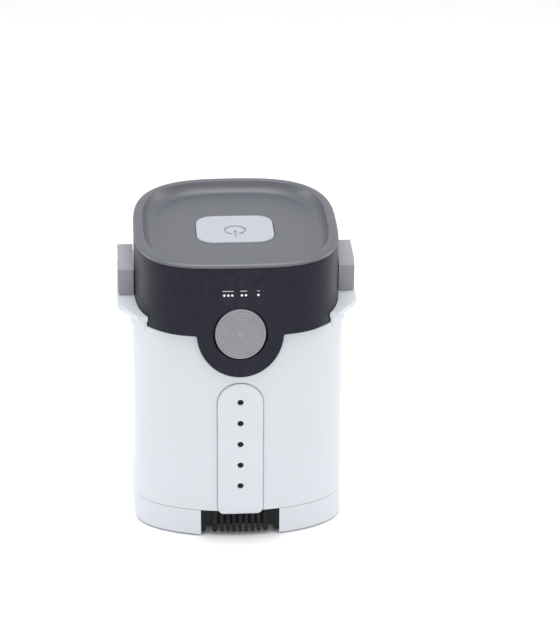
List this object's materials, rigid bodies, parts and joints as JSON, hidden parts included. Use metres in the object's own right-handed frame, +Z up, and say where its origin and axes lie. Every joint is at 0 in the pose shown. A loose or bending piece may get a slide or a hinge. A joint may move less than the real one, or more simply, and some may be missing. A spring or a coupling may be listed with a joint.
{
  "type": "pool cleaner",
  "caption": "Upright cordless pool cleaner: a dark powered head with a top button and a front button, held by two side latches on a white filter tank with a comb intake.",
  "frame": {"origin": "on the ground, below the centre of the object", "axes": "+Z up; -Y is the front, with the mode button; +X is the right-hand latch seen from behind the front"},
  "size_m": [0.226, 0.2144, 0.2872],
  "materials": {
    "white_shell": "satin white moulded plastic",
    "charcoal": "satin dark blue-grey moulded plastic",
    "tray_grey": "matte dark grey moulded plastic",
    "button_grey": "satin light grey plastic",
    "mode_grey": "ridged satin grey plastic",
    "latch_grey": "satin mid grey plastic",
    "black_plastic": "matte black plastic",
    "rubber": "matte black rubber",
    "lamp": "white diffusing plastic",
    "steel": "stainless steel",
    "circuit_board": "green resist on glass board",
    "cell_sleeve": "blue shrink sleeve",
    "basket_plastic": "pale grey moulded plastic",
    "rotor_plastic": "white moulded plastic"
  },
  "bodies": {
    "tank": {"base_ring": "white_shell", "foot_1": "rubber", "foot_2": "rubber", "foot_3": "rubber", "foot_4": "rubber", "tank_shell": "white_shell", "base_screw_1": "steel", "base_screw_2": "steel", "base_screw_3": "steel", "base_screw_4": "steel", "front_strip": "white_shell", "strip_stud_1": "black_plastic", "strip_stud_2": "black_plastic", "strip_stud_3": "black_plastic", "strip_stud_4": "black_plastic", "strip_stud_5": "black_plastic", "comb": "black_plastic", "intake_throat": "black_plastic", "flap_pin": "steel", "basket_floor": "basket_plastic", "filter_basket": "basket_plastic", "deck_seal": "rubber", "latch_pin_left": "steel", "latch_pin_right": "steel"},
    "flap": {"intake_flap": "rubber"},
    "left_latch": {"latch_left": "latch_grey", "latch_pad_left": "rubber"},
    "right_latch": {"latch_right": "latch_grey", "latch_pad_right": "rubber"},
    "head": {"head_housing": "charcoal", "top_cover": "tray_grey", "cover_gasket": "rubber", "power_dome": "rubber", "mode_switch": "black_plastic", "light_guide": "lamp", "control_board": "circuit_board", "cell_tray": "black_plastic", "cell_1": "cell_sleeve", "cell_2": "cell_sleeve", "cell_3": "cell_sleeve", "cell_4": "cell_sleeve", "port_socket": "steel", "port_pin": "steel", "outlet_grille": "charcoal", "outlet_duct": "black_plastic", "pod_housing": "charcoal", "pod_screw_1": "steel", "pod_screw_2": "steel", "pod_screw_3": "steel", "pod_screw_4": "steel", "motor": "steel", "shaft_seal": "rubber", "pump_volute": "charcoal"},
    "power_key": {"power_button": "button_grey"},
    "mode_key": {"mode_button": "mode_grey"},
    "port_lid": {"port_cover": "rubber"},
    "rotor": {"motor_shaft": "steel", "impeller": "rotor_plastic"}
  },
  "joints": [
    {"name": "head_lift", "type": "slide", "parent": "tank", "child": "head", "axis": [0, 0, 1], "range_m": [0, 0.17]},
    {"name": "power_press", "type": "slide", "parent": "head", "child": "power_key", "axis": [0, 0, -1], "range_m": [0, 0.003], "stiffness_N_per_m": 600, "springref_m": -0.002},
    {"name": "mode_press", "type": "slide", "parent": "head", "child": "mode_key", "axis": [0, 1, 0], "range_m": [0, 0.0015], "stiffness_N_per_m": 800, "springref_m": -0.002},
    {"name": "left_latch_swing", "type": "hinge", "parent": "tank", "child": "left_latch", "pos_m": [-0.1088, -0.007, 0.2277], "axis": [0, -1, 0], "range_deg": [0, 75]},
    {"name": "right_latch_swing", "type": "hinge", "parent": "tank", "child": "right_latch", "pos_m": [0.1088, -0.007, 0.2277], "axis": [0, 1, 0], "range_deg": [0, 75]},
    {"name": "intake_flap_swing", "type": "hinge", "parent": "tank", "child": "flap", "pos_m": [0, 0.0233, 0.0372], "axis": [-1, 0, 0], "range_deg": [0, 75]},
    {"name": "port_cover_swing", "type": "hinge", "parent": "head", "child": "port_lid", "pos_m": [0, 0.1042, 0.2488], "axis": [-1, 0, 0], "range_deg": [0, 100]},
    {"name": "rotor_spin", "type": "hinge", "parent": "head", "child": "rotor", "pos_m": [0, 0, 0.12], "axis": [0, 0, 1], "continuous": true}
  ]
}
